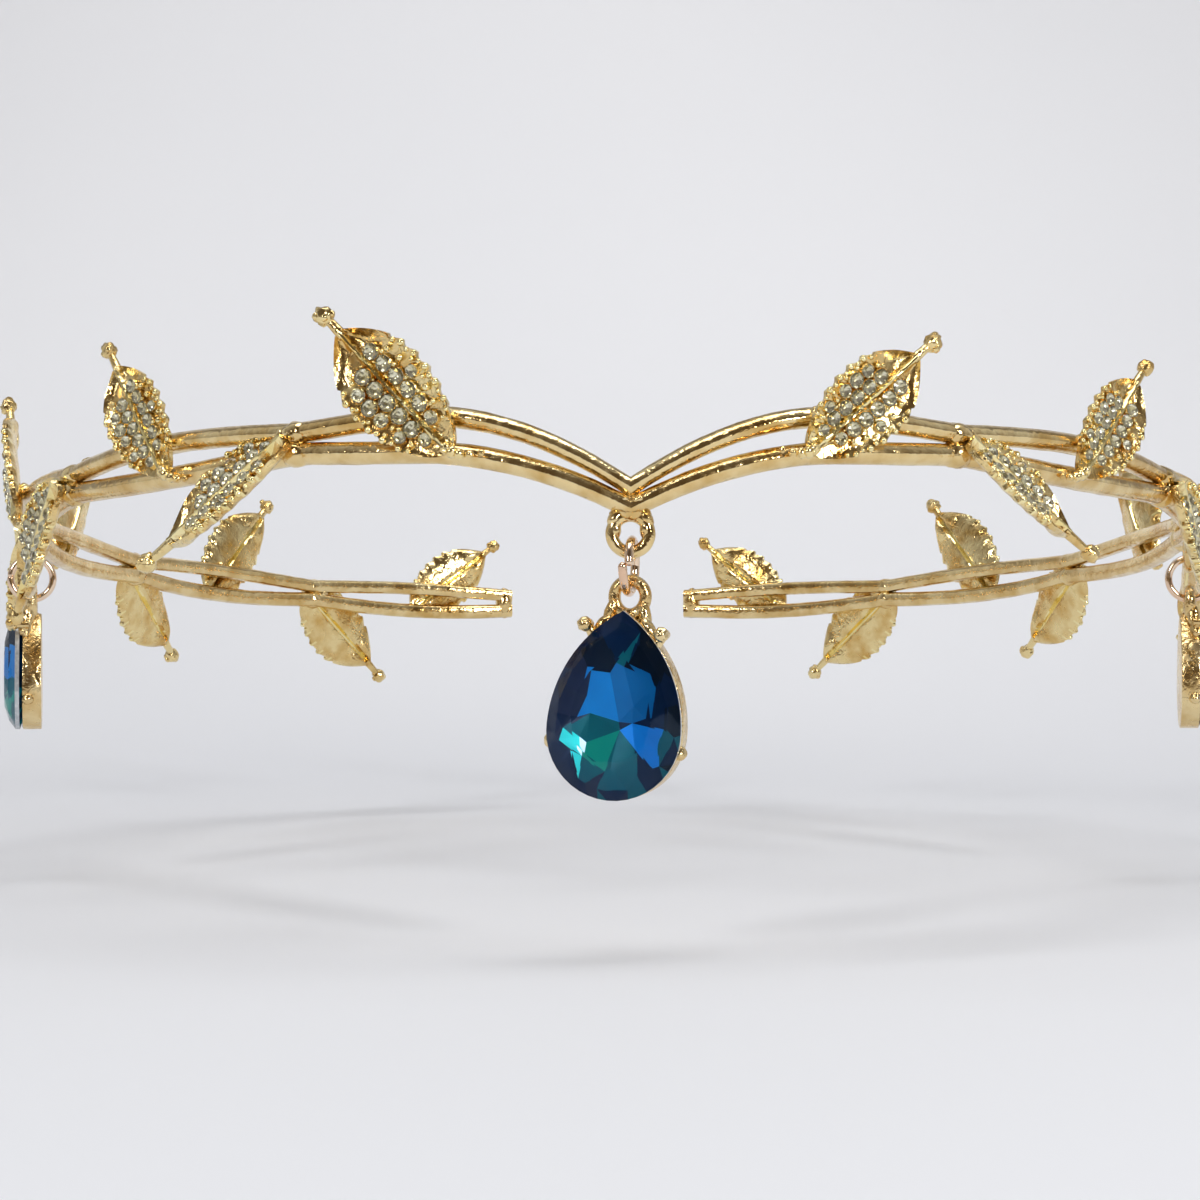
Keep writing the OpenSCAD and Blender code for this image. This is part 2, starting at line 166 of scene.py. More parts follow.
gloss = add_node(cast_skin, "ShaderNodeMapRange", **{"From Min": 0.35, "From Max": 0.7})
heights = add_node(cast_skin, "ShaderNodeMath", operation="MULTIPLY_ADD")
heights.inputs[1].default_value = 0.12
bump = add_node(cast_skin, "ShaderNodeBump", Distance=0.00028)
join = cast_skin.links.new
for texture in (patches, ripples, grain):
    join(where.outputs["Object"], texture.inputs["Vector"])
join(patches.outputs["Fac"], tone.inputs["Value"])
join(tone.outputs["Result"], hue.inputs["Factor"])
join(skin_in.outputs["Pale"], hue.inputs["A"])
join(skin_in.outputs["Warm"], hue.inputs["B"])
join(hue.outputs["Result"], skin_out.inputs["Color"])
join(ripples.outputs["Fac"], gloss.inputs["Value"])
join(skin_in.outputs["Smooth"], gloss.inputs["To Min"])
join(skin_in.outputs["Rough"], gloss.inputs["To Max"])
join(gloss.outputs["Result"], skin_out.inputs["Roughness"])
join(grain.outputs["Fac"], heights.inputs[0])
join(ripples.outputs["Fac"], heights.inputs[2])
join(heights.outputs["Value"], bump.inputs["Height"])
join(skin_in.outputs["Ripple"], bump.inputs["Strength"])
join(bump.outputs["Normal"], skin_out.inputs["Normal"])


def new_finish(name, settings):
    """A material, its node tree and its shader, with the shader's plain sockets set."""
    material = bpy.data.materials.new(name)
    material.use_nodes = True
    shader = material.node_tree.nodes["Principled BSDF"]
    for label, value in settings.items():
        shader.inputs[label].default_value = value
    return material, material.node_tree, shader


def plated(name, pale, warm, ripple, smooth, rough):
    """Gold plate on a casting, pale and warm amber in random patches, with a gloss between smooth and rough.
    """
    material, tree, shader = new_finish(name, {"Metallic": 1.0})
    skin = tree.nodes.new("ShaderNodeGroup")
    skin.node_tree = cast_skin
    wanted = {"Pale": (*pale, 1), "Warm": (*warm, 1), "Ripple": ripple, "Smooth": smooth, "Rough": rough}
    for label, value in wanted.items():
        skin.inputs[label].default_value = value
    for label, socket in (("Color", "Base Color"), ("Roughness", "Roughness"), ("Normal", "Normal")):
        tree.links.new(skin.outputs[label], shader.inputs[socket])
    return material


def finished(mesh, name, materials, body, sharp=38, smooth=True):
    """The bmesh, drawn in millimetres, becomes an object in metres that rides on a body."""
    bmesh.ops.scale(mesh, vec=(0.001, 0.001, 0.001), verts=mesh.verts)
    data = bpy.data.meshes.new(name)
    mesh.to_mesh(data)
    mesh.free()
    piece = bpy.data.objects.new(name, data)
    bpy.context.scene.collection.objects.link(piece)
    for material in materials:
        data.materials.append(material)
    data.polygons.foreach_set("use_smooth", [smooth] * len(data.polygons))
    if smooth:
        data.set_sharp_from_angle(angle=radians(sharp))
    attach(piece, body)
    return piece


strand_gold = plated(
    "strand_gold", (0.9, 0.71, 0.37), (0.68, 0.44, 0.15), ripple=0.38, smooth=0.1, rough=0.26)
strands = bmesh.new()
run_strand(strands, 1, UPPER_H)
run_strand(strands, -1, LOWER_H)
bmesh.ops.recalc_face_normals(strands, faces=strands.faces)
strand_piece = finished(strands, "vine_strands", [strand_gold], "band", sharp=50)
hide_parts("vine")


# The knots
# Where the strands meet, the caster ran a lump of solder over both, and it set a little uneven. The lump
# at the front lies back between the strands, above the eyelet.
KNOT_PAIRS = 5
# across, outward, upward, half width, half height and seed of the small lumps at the front's point
FRONT_LUMPS = (
    (0.1, 0, -0.1, 1.5, 0.7, 90), (0.75, 0.55, -0.1, 0.75, 0.5, 92), (1.5, 0.4, 0.2, 0.6, 0.4, 93),
    (-0.6, 0.4, -0.1, 0.6, 0.45, 94))


def pattern(mesh):
    """The corners and faces of a small mesh, to be stamped many times over; the mesh itself is freed."""
    mesh.verts.index_update()
    faces = [([v.index for v in f.verts], f.material_index) for f in mesh.faces]
    shape = ([v.co.copy() for v in mesh.verts], faces)
    mesh.free()
    return shape


def stamp(mesh, shape, place):
    verts = [mesh.verts.new(place @ spot) for spot in shape[0]]
    for corners, slot in shape[1]:
        mesh.faces.new([verts[c] for c in corners]).material_index = slot


def round_ball(fineness):
    ball = bmesh.new()
    bmesh.ops.create_icosphere(ball, subdivisions=fineness, radius=1.0)
    return pattern(ball)


FINE_BALL, SMALL_BALL = round_ball(3), round_ball(2)


def lump(mesh, middle, turn, size, seed, rough=0.16, ball=FINE_BALL, tip=0.0):
    """A squashed ball of metal with an uneven skin, turned along the band and tipped in its plane."""
    stand = Matrix.Translation(middle) @ Matrix.Rotation(turn, 4, "Z") @ Matrix.Rotation(tip, 4, "Y")
    swollen = []
    for spot in ball[0]:
        swell = 1 + rough * noise.noise(spot * 1.9 + Vector((seed, 3 * seed, 0)))
        swollen.append(Vector([c * s * swell for c, s in zip(spot, size)]))
    stamp(mesh, (swollen, ball[1]), stand)


def turn_at(at, side=1):
    return side * atan2(HALF_D * sin(radians(at)), HALF_W * cos(radians(at)))


knots = bmesh.new()
knot_places = [(FIRST_KNOT + KNOT_STEP * i, side) for i in range(KNOT_PAIRS) for side in (-1, 1)]
for count, (at, side) in enumerate(knot_places):
    half, turn = spread(at) / 2, turn_at(at, side)
    lump(knots, on_band(at, 0.2, half, side), turn, (1.7, 1.45, 1.2), 7.3 * count)
    lump(knots, on_band(at, 0.15, -half, side), turn, (1.8, 1.5, 1.4), 3.1 + 5.7 * count)
    lump(knots, on_band(at + 1.1, 0.35, 0.1, side), turn, (1.2, 1.3, 1.7), 1.7 + 4.1 * count)
for side in (-1, 1):
    back_end = on_band(END_AT - 0.9, 0.05, 0, side)
    lump(knots, back_end, turn_at(END_AT, side), (1.35, 1.4, 2.45), 41 + side, 0.08)
for across, out, up, wide, high, seed in FRONT_LUMPS:
    lump(knots, on_band(0, out, up) + Vector((across, 0, 0)), 0, (wide, 0.8, high), seed, 0.3)
lump(knots, on_band(0, 0.2, -1.25), 0, (1.25, 0.95, 0.95), 91, 0.1)
bmesh.ops.recalc_face_normals(knots, faces=knots.faces)
finished(knots, "vine_knots", [strand_gold], "band", sharp=60)


# The leaves
# Eleven cast leaves a side, rising from the lower strand and hanging from the knots in turn. Each is a
# shallow tray folded along a raised vein, with a toothed rim, a bare hollow at its stalk and a ball end.
LEAF_LEN, LEAF_W, BLADE_T = 17.0, 9.6, 0.64
LEAF_OFF, APEX_LIFT, AIM = 1.9, 0.2, 0.3
WIDEST, SWELL, TAPER = 0.53, 0.62, 2.2
TEETH, TEETH_FROM, TEETH_TO = 5, 0.16, 0.74
TOOTH_LOW, TOOTH_RISE, TOOTH_PEAK = 0.9, 0.14, 0.3
STALK_HALF, APEX_HALF = 0.55, 0.45
FOLD = tan(radians(10))
VEIN_H, VEIN_EDGE, RIM_FROM = 0.95, 0.34, 0.93
ALONG_CUTS, ACROSS_CUTS, CROWDED = 52, 20, 1.55
# pitch, outward lean, size, shift, turn to the front, stalk and roll about the vein; a pair in brackets
# is for the left leaf and the right one
LEAVES = [
    ((46, 40), 4, (0.95, 0.86), 1, (0, 0), 2.2, (0, 0)),
    ((-36, -36), 12, (1.0, 0.9), 0, (0, 0), 3.4, (28, 28)),
    ((54, 46), -6, (0.82, 0.82), -2, (12, 12), 2.4, (0, 0)),
    ((-47, -45), 6, (1.0, 1.0), 0, (0, 0), 3.0, (0, 0)),
    ((50, 48), 4, (0.95, 0.95), 0, (0, 0), 2.4, (0, 0)),
    ((-42, -44), 8, (1.0, 1.0), 0, (0, 0), 3.0, (0, 0)),
    ((46, 48), 5, (1.0, 1.0), 0, (0, 0), 2.0, (0, 0)),
    ((-40, -38), 8, (1.0, 1.0), 0, (0, 0), 3.0, (0, 0)),
    ((44, 45), 5, (1.0, 1.0), 0, (0, 0), 2.0, (0, 0)),
    ((-42, -40), 8, (1.0, 1.0), 0, (0, 0), 3.0, (0, 0)),
    ((36, 38), 4, (0.9, 0.9), 0, (0, 0), 2.0, (0, 0))]
SIDES = {"left": -1, "right": 1}


def hand(side):
    return 0 if side < 0 else 1


def leaf_frame(k, side):
    """The leaf's own axes in the part's frame: along its vein, across it and out of its face."""
    pitches, lean, sizes, shift, turns, _, rolls = LEAVES[k]
    pitch, roll, lean = radians(abs(pitches[hand(side)])), radians(rolls[hand(side)]), radians(lean)
    up = 1 if pitches[0] > 0 else -1
    at = FIRST_LEAF + k * LEAF_STEP + shift
    mid = at + LEAF_STEP * AIM - turns[hand(side)]
    apex = on_band(at, LEAF_OFF, APEX_LIFT - (spread(at) / 2 if up > 0 else 0), side)
    rise = Vector((0, 0, up * cos(lean))) + sin(lean) * outward(mid, side)
    face = cos(lean) * outward(mid, side) - Vector((0, 0, up * sin(lean)))
    vein = cos(pitch) * along(mid, side) + sin(pitch) * rise
    cross = -sin(pitch) * along(mid, side) + cos(pitch) * rise
    turned = Matrix((vein, cos(roll) * cross + sin(roll) * face, cos(roll) * face - sin(roll) * cross))
    turned = turned.transposed().to_4x4()
    return Matrix.Translation(apex) @ turned @ Matrix.Scale(sizes[hand(side)], 4)


def blade_half(x):
    """Half the blade's width, x of the way from its apex on the band to its stalk."""
    if x < WIDEST:
        return APEX_HALF + (LEAF_W / 2 - APEX_HALF) * sin(pi / 2 * x / WIDEST) ** SWELL
    return LEAF_W / 2 - (LEAF_W / 2 - STALK_HALF) * ((x - WIDEST) / (1 - WIDEST)) ** TAPER


def tooth(x):
    if not TEETH_FROM < x < TEETH_TO:
        return 1.0
    part = (x - TEETH_FROM) * TEETH / (TEETH_TO - TEETH_FROM) % 1
    climb = part / TOOTH_PEAK if part < TOOTH_PEAK else (1 - part) / (1 - TOOTH_PEAK)
    return TOOTH_LOW + TOOTH_RISE * climb


def eased(x):
    x = min(1.0, max(0.0, x))
    return x * x * (3 - 2 * x)


def leaf_skin(x, t):
    """Height of the blade's upper skin, from its fold, tray, rim, vein and the hollow at its stalk."""
    half = blade_half(x)
    v = abs(t) * half
    tray = -0.16 * sin(pi * min(1, abs(t) / 0.9)) * eased(x / 0.2)
    rim = 0.3 * eased((abs(t) - 0.84) / 0.1) * eased(x / 0.12) * (1 - 0.5 * eased((x - 0.8) / 0.15))
    vein = VEIN_H * (1 - eased((v - 0.2) / 0.26)) * (1 - 0.45 * x)
    stalk = -0.45 * eased((x - 0.74) / 0.12) * sin(pi * min(1, abs(t))) * (1 - eased((x - 0.9) / 0.1))
    return FOLD * v + tray + rim + vein + stalk


def blade(leaf, seed):
    """A flat grid pulled to the toothed outline and the skin, then given its thickness."""
    bmesh.ops.create_grid(leaf, x_segments=ALONG_CUTS, y_segments=ACROSS_CUTS, size=1.0)
    for vert in leaf.verts:
        x, t = (vert.co.x + 1) / 2, vert.co.y
        t = (1 if t >= 0 else -1) * abs(t) ** CROWDED
        half = blade_half(x) * (1 + (tooth(x) - 1) * abs(t) ** 4)
        skin = leaf_skin(x, t) + 0.07 * noise.noise(Vector((3 * x, 2 * t, 0)) * 2.6 + Vector((seed, 0, 0)))
        vert.co = (x * LEAF_LEN, t * half, skin)
    # faces on the vein and by the rim take the painted highlight gold
    for face in leaf.faces:
        middle = face.calc_center_median()
        across = abs(middle.y)
        bright = across < VEIN_EDGE or across > RIM_FROM * blade_half(middle.x / LEAF_LEN)
        face.material_index = int(bright)
    bmesh.ops.solidify(leaf, geom=leaf.faces[:], thickness=BLADE_T)


def leaf_stalk(leaf, length, seed):
    """The bare stalk and the lumpy cast ball at its end."""
    made = bmesh.ops.create_cone(leaf, cap_ends=True, segments=12, radius1=0.62, radius2=0.44,
                                 depth=length + 0.6)["verts"]
    lie = Matrix.Translation((LEAF_LEN + length / 2 - 0.3, 0, -0.18)) @ Matrix.Rotation(pi / 2, 4, "Y")
    bmesh.ops.transform(leaf, matrix=lie, verts=made)
    middle = Vector((LEAF_LEN + length + 0.1, 0, -0.15))
    lump(leaf, middle, 0, (1.12, 1.0, 0.95), seed, 0.3)
    for i in range(5):
        aside = Vector((0.45 * sin(2.4 * i + seed), 0.7 * cos(2.4 * i), 0.35 + 0.35 * sin(1.7 * i + seed)))
        lump(leaf, middle + aside, 0, (0.45, 0.42, 0.42), seed + i, 0.3, SMALL_BALL)


def poured(target, source):
    """Adds the source mesh to the target and frees it."""
    held = bpy.data.meshes.new("held")
    source.to_mesh(held)
    source.free()
    target.from_mesh(held)
    bpy.data.meshes.remove(held)


# the vein, the rim and the beads are painted in a paler, glossier gold: a painted highlight
leaf_gold = plated("leaf_gold", (0.93, 0.75, 0.38), (0.66, 0.39, 0.1), ripple=0.6, smooth=0.12, rough=0.32)
painted_highlight_gold = plated("painted_highlight_gold", (1.0, 0.87, 0.48), (0.92, 0.74, 0.3), ripple=0.3, smooth=0.1, rough=0.24)
for label, side in SIDES.items():
    leaves = bmesh.new()
    for k, (_, _, sizes, _, _, stalk, _) in enumerate(LEAVES):
        leaf = bmesh.new()
        blade(leaf, 11.0 * k + side)
        leaf_stalk(leaf, stalk / sizes[hand(side)], 5.0 * k + side)
        bmesh.ops.transform(leaf, matrix=leaf_frame(k, side), verts=leaf.verts)
        poured(leaves, leaf)
    bmesh.ops.recalc_face_normals(leaves, faces=leaves.faces)
    finished(leaves, "vine_leaves_" + label, [leaf_gold, painted_highlight_gold], "band", sharp=42)


# The grains and collars
# Beads of metal stand along each toothed rim and between the stones, and a low collar holds each stone.
# Where a rising leaf crosses the upper strand, a grainy blob of solder joins them.
PAVE_R = 0.91
SEAT_LEAN = radians(10)
RIM_BEADS = TEETH * 2 + 1
# part of the length from the apex, distance from the vein, side, diameter in parts of a full stone
SEATS = [
    (0.325, 1.35, 1, 1), (0.435, 1.45, 1, 1), (0.545, 1.5, 1, 1), (0.655, 1.45, 1, 1), (0.765, 1.3, 1, 1),
    (0.255, 1.3, -1, 1), (0.365, 1.3, -1, 1), (0.475, 1.3, -1, 1), (0.585, 1.3, -1, 1), (0.695, 1.3, -1, 1),
    (0.53, 3.0, -1, 1), (0.425, 2.95, -1, 0.85), (0.635, 2.95, -1, 0.85), (0.215, 1.2, 1, 0.85),
    (0.15, 1.05, -1, 0.8), (0.27, 2.75, -1, 0.75), (0.49, 3.15, 1, 0.75)]
# part of the length, distance from the vein and radius of the loose beads between the outer stones
LOOSE_BEADS = (
    (0.27, 2.5, 0.34), (0.36, 2.95, 0.44), (0.6, 3.1, 0.44), (0.7, 2.75, 0.38), (0.42, 3.5, 0.3),
    (0.345, -2.6, 0.34), (0.72, -2.5, 0.34), (0.35, -3.6, 0.3), (0.478, -3.95, 0.32),
    (0.582, -3.95, 0.32), (0.19, -2.3, 0.3), (0.54, 3.9, 0.3))
# radius and height round a collar, from its outer foot over its lip to its inner foot
COLLAR_WALL = ((1.04, -0.1), (1.0, 0.26), (0.92, 0.36), (0.82, 0.3), (0.8, -0.1))
TAIL_RADII = (0.62, 0.62, 0.56, 0.46, 0.36)
BLOB_STEPS = ((0.0, 0.1), (0.55, 0.5), (-0.5, 0.45), (0.2, 0.95))


def field_frame(k, side):
    """A leaf's frame for its stones; the right leaves come from the same mould as the left ones."""
    return leaf_frame(k, side) @ Matrix.Diagonal((1, -side, 1, 1))


def seat_frame(seat):
    """The stone's own axes on its leaf: its foot on the folded half, its table outwards."""
    x, v, half, size = seat
    lean = Matrix.Rotation(half * SEAT_LEAN, 4, "X")
    foot = Matrix.Translation((x * LEAF_LEN, 0, 0)) @ lean @ Matrix.Translation((0, half * v, 0))
    return foot @ Matrix.Diagonal((size, size, 1, 1))


bead_mesh = bmesh.new()
bmesh.ops.create_uvsphere(bead_mesh, u_segments=8, v_segments=5, radius=1.0)
# the beads take the painted highlight gold
for face in bead_mesh.faces:
    face.material_index = 1
BEAD = pattern(bead_mesh)
collar_mesh = bmesh.new()
wall = [collar_mesh.verts.new((radius, 0, height)) for radius, height in COLLAR_WALL]
wall_edges = [collar_mesh.edges.new(pair) for pair in zip(wall, wall[1:] + wall[:1])]
bmesh.ops.spin(collar_mesh, geom=wall + wall_edges, cent=(0, 0, 0), axis=(0, 0, 1), angle=2 * pi, steps=12,
               use_merge=True)
COLLAR = pattern(collar_mesh)


def grain_bead(mesh, place, x, v, lift, radius):
    half = blade_half(x)
    spot = Matrix.Translation((x * LEAF_LEN, max(-half, min(half, v)), FOLD * abs(v) + lift))
    stamp(mesh, BEAD, place @ spot @ Matrix.Scale(radius, 4))


def leaf_beads(mesh, place, k):
    """The beads of one leaf: along both rims, in two rows beside the vein, and loose ones."""
    for half in (-1, 1):
        for i in range(RIM_BEADS):
            x = TEETH_FROM + (i + 0.35) * (TEETH_TO - TEETH_FROM) / RIM_BEADS
            reach = blade_half(x) * (0.95 if i % 2 else 0.9)
            size = 0.4 if i % 2 else 0.3
            grain_bead(mesh, place, x, half * reach, 0.2, size + 0.04 * sin(5.1 * i + k))
        first = 0.16 if half > 0 else 0.2
        for i in range(6):
            grain_bead(mesh, place, first + 0.11 * i, half * 0.68, 0.26, 0.18)
            grain_bead(mesh, place, first + 0.11 * i, half * 2.15, 0.34, 0.26)
    for x, v, size in LOOSE_BEADS:
        grain_bead(mesh, place, x, v, 0.12, size)


def leaf_solder(mesh, k, side):
    """The tail of solder under a rising leaf's apex, and the blob that ties it to the upper strand."""
    at = FIRST_LEAF + k * LEAF_STEP + LEAVES[k][3] + 1.2
    for i, radius in enumerate(TAIL_RADII):
        spot = leaf_frame(k, side) @ Vector((0.5 - 0.75 * i, 0.14 * i * i, 0.35 - 0.12 * i))
        lump(mesh, spot, 0, (radius, radius, radius), 3.0 * k + i, 0.25, SMALL_BALL)
    for i, (step, up) in enumerate(BLOB_STEPS):
        spot = on_band(at + step, 1.15, spread(at) / 2 + up, side)
        lump(mesh, spot, 0, (0.62, 0.62, 0.6), 9.0 * k + i + side, 0.2, SMALL_BALL)


for label, side in SIDES.items():
    grains = bmesh.new()
    for k, (pitches, *_) in enumerate(LEAVES):
        place = field_frame(k, side)
        leaf_beads(grains, place, k)
        for seat in SEATS:
            stamp(grains, COLLAR, place @ seat_frame(seat))
        if pitches[0] > 0:
            leaf_solder(grains, k, side)
    bmesh.ops.recalc_face_normals(grains, faces=grains.faces)
    finished(grains, "leaf_grains_" + label, [leaf_gold, painted_highlight_gold], "band", sharp=70)


# The clear stones
# Round cut glass with a table and eight main facets, silvered behind. Each stone is seated in its collar,
# with grains of metal pressed against its edge.
SILVERED_BELOW = 0.38
# radius, height, corners and turn of each ring of corners, from the girdle to the table and the back
STONE_RINGS = (
    (PAVE_R, 0.36, 16, 0), (PAVE_R, 0.44, 16, 0), (0.66, 0.64, 8, 0.5), (0.43, 0.82, 8, 0),
    (0.4, 0.12, 8, 0.5))


def two_tones(tree, texture, output, dark, bright):
    """Two colours mixed over a piece by a texture."""
    where = add_node(tree, "ShaderNodeTexCoord")
    mixed = add_node(tree, "ShaderNodeMix", data_type="RGBA")
    mixed.inputs["A"].default_value = (*dark, 1)
    mixed.inputs["B"].default_value = (*bright, 1)
    tree.links.new(where.outputs["Object"], texture.inputs["Vector"])
    tree.links.new(texture.outputs[output], mixed.inputs["Factor"])
    return mixed.outputs["Result"]


def cut_glass(name, tint, refraction, shine=(1, 1, 1)):
    return new_finish(name, {"Base Color": (*tint, 1), "Transmission Weight": 1.0, "Roughness": 0.0,
                             "IOR": refraction, "Specular Tint": (*shine, 1)})[0]


def foil(name, dark, bright, rough, pitch, metal, glow=0.0):
    """Foil behind a stone, whose tone changes over it as a painted reflection; glow is painted light,
    emission standing in for the light that the pavilion throws back.
    """
    plain = {"Metallic": metal, "Roughness": rough, "Emission Strength": glow}
    material, tree, shader = new_finish(name, plain)
    cells = add_node(tree, "ShaderNodeTexNoise" if glow else "ShaderNodeTexVoronoi", Scale=pitch)
    colour = two_tones(tree, cells, "Color", dark, bright)
    tree.links.new(colour, shader.inputs["Base Color"])
    if glow:
        tree.links.new(colour, shader.inputs["Emission Color"])
    return material


def stone_ring(mesh, radius, height, count, shift):
    made = bmesh.ops.create_circle(mesh, cap_ends=False, segments=count, radius=radius)["verts"]
    move = Matrix.Translation((0, 0, height)) @ Matrix.Rotation(2 * pi * shift / count, 4, "Z")
    bmesh.ops.transform(mesh, matrix=move, verts=made)
    return made


def round_stone():
    """Girdle, star facets, table and a shallow silvered back, as the hull of their corners."""
    mesh = bmesh.new()
    corners = []
    for ring in STONE_RINGS:
        corners += stone_ring(mesh, *ring)
    corners += bmesh.ops.create_vert(mesh, co=(0, 0, -0.02))["vert"]
    for edge in {e for v in corners for e in v.link_edges}:
        mesh.edges.remove(edge)
    made = bmesh.ops.convex_hull(mesh, input=corners)
    for item in made["geom"]:
        if isinstance(item, bmesh.types.BMFace):
            item.material_index = 1 if item.calc_center_median().z < SILVERED_BELOW else 0
    return pattern(mesh)


clear_glass = cut_glass("clear_glass", (0.98, 0.97, 0.86), 1.6)
# the silvering's small light and dark cells are painted sparkle, standing in for the facets' reflections
painted_sparkle_foil = foil("painted_sparkle_foil", (0.62, 0.54, 0.3), (1.0, 0.99, 0.88), 0.06, 2600.0, 0.8)
ROUND_STONE = round_stone()
for label, side in SIDES.items():
    stones = bmesh.new()
    for k in range(len(LEAVES)):
        for seat in SEATS:
            stamp(stones, ROUND_STONE, field_frame(k, side) @ seat_frame(seat))
    bmesh.ops.recalc_face_normals(stones, faces=stones.faces)
    pave = finished(stones, "pave_" + label, [clear_glass, painted_sparkle_foil], "band", smooth=False)
    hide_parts("leaf_stones_" + label)


# The eyelets
# Three cast rings stand under the lower strand, one at the front and one at each temple. Each is
# soldered on with lumps at its shoulders and cheeks.
EYELET_D, EYELET_WIRE, EYELET_BELOW = 4.8, 1.3, 2.4
SIDE_DROP_AT = 78
THINNER = 0.98


def drop_frame(at, side):
    """The drop's own axes: the eyelet's middle, with -Y facing away from the head."""
    middle = on_band(at, 0, -spread(at) / 2 - EYELET_BELOW, side)
    return Matrix.Translation(middle) @ Matrix.Rotation(turn_at(at, side), 4, "Z")


DROPS = {
    "front": drop_frame(0, 1), "left": drop_frame(SIDE_DROP_AT, -1), "right": drop_frame(SIDE_DROP_AT, 1)}


def wire_ring(mesh, outer_d, wire, steps, sweep=2 * pi, splay=0.0):
    """A round wire bent to a ring in the X-Z plane; splay parts its ends sideways."""
    circle = bmesh.ops.create_circle(mesh, segments=14, radius=wire / 2)["verts"]
    bmesh.ops.translate(mesh, vec=((outer_d - wire) / 2, 0, 0), verts=circle)
    edges = list({e for v in circle for e in v.link_edges})
    full = abs(sweep - 2 * pi) < 1e-6
    bmesh.ops.spin(mesh, geom=circle + edges, cent=(0, 0, 0), axis=(0, 1, 0), dvec=(0, splay / steps, 0),
                   angle=sweep, steps=steps, use_merge=full)
    if not full:
        for end in (0.0, sweep):
            middle = Matrix.Rotation(end, 4, "Y") @ Vector(((outer_d - wire) / 2, 0, 0))
            middle.y += splay if end else 0.0
            lump(mesh, middle, 0, (wire / 2, wire / 2, wire / 2), 0, 0.0, SMALL_BALL)
        bmesh.ops.holes_fill(mesh, edges=[e for e in mesh.edges if e.is_boundary])


eyelets = bmesh.new()
for place in DROPS.values():
    one = bmesh.new()
    wire_ring(one, EYELET_D, EYELET_WIRE * THINNER, 48)
    for vert in one.verts:
        vert.co *= 1 + 0.012 * noise.noise(vert.co * 1.3)
        vert.co.y *= 1.08
    for x in (-1.0, 1.0):
        lump(one, Vector((1.5 * x, -0.05, 1.5)), 0, (0.95, 0.72, 0.6), 3 * x, 0.14, tip=radians(50 * x))
        lump(one, Vector((1.05 * x, 0.1, 1.9)), 0, (1.0, 0.7, 0.5), 4 * x, 0.14)
        lump(one, Vector((1.45 * x, 0, 0.35)), 0, (0.58, 0.7, 1.1), 6 * x, 0.1, tip=radians(-8 * x))
    bmesh.ops.transform(one, matrix=place, verts=one.verts)
    poured(eyelets, one)
bmesh.ops.recalc_face_normals(eyelets, faces=eyelets.faces)
finished(eyelets, "vine_eyelets", [strand_gold], "band", sharp=60)


# The jump rings
# A pinkish gold wire is bent round and closed by hand, so that its two ends pass a little beside each
# other. It hangs edge-on between the eyelet and the drop's bail.
RING_D, RING_WIRE, LINK_GAP = 5.8, 0.8, 0.12
RING_SWEEP, RING_GROWN = radians(349), 0.08
RING_TOP = -(EYELET_D - EYELET_WIRE) / 2 + EYELET_WIRE / 2 + LINK_GAP
RING_MIDDLE = RING_TOP - (RING_D / 2 - RING_WIRE)
RING_FOOT = RING_MIDDLE - (RING_D - RING_WIRE) / 2
# where the gap stands in radians, how far its ends part, and the ring's turn in degrees
RING_OPEN = {"front": (0.16, 0.62, -12), "left": (0.2, 0.3, 0), "right": (-0.1, 0.3, 5)}
wire_gold = plated("wire_gold", (0.92, 0.73, 0.55), (0.84, 0.58, 0.4), ripple=0.12, smooth=0.08, rough=0.2)
for label, place in DROPS.items():
    ring_mesh = bmesh.new()
    start, splay, yaw = RING_OPEN[label]
    wire_ring(ring_mesh, RING_D + RING_GROWN, RING_WIRE + RING_GROWN, 56, RING_SWEEP, splay)
    bmesh.ops.translate(ring_mesh, vec=(0, -splay / 2, 0), verts=ring_mesh.verts)
    stand = Matrix.Translation((0, 0, RING_MIDDLE)) @ Matrix.Rotation(pi / 2 + radians(yaw), 4, "Z")
    stand = stand @ Matrix.Rotation(pi + start, 4, "Y")
    bmesh.ops.transform(ring_mesh, matrix=place @ stand, verts=ring_mesh.verts)
    bmesh.ops.recalc_face_normals(ring_mesh, faces=ring_mesh.faces)
    link = finished(ring_mesh, "jump_ring_" + label, [wire_gold], label + "_link", sharp=60)
    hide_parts(label + "_ring")


# The settings
# Each drop is a closed pear cup with a rounded rim. Two eared claws stand beside the tip, two beads sit
# low on its sides, and a bail is cast on at the tip. The front one hangs turned and a little askew.
BAIL_D, BAIL_WIRE, TIP_LIFT = 4.2, 1.2, 0.73
BAIL_MIDDLE = RING_FOOT + RING_WIRE / 2 + LINK_GAP - (BAIL_D / 2 - BAIL_WIRE)
TIP_Z = BAIL_MIDDLE - BAIL_D / 2 + TIP_LIFT
GIRDLE_H = 0.5
# in parts of the stone's width, and the hub in parts of its length
AHEAD, CROWN, PAVILION, HUB = 0.19, 0.13, 0.16, 0.12
CUP_WALL, CUP_SEAT, CUP_ROOM, CUP_FLOOR, CUP_ROUND = 0.5, 0.33, 0.2, 0.45, 0.16
CUP_CORNERS = 72
CLAW_D, CLAW_BALL_D, EAR_OFF = 0.9, 1.45, 1.0
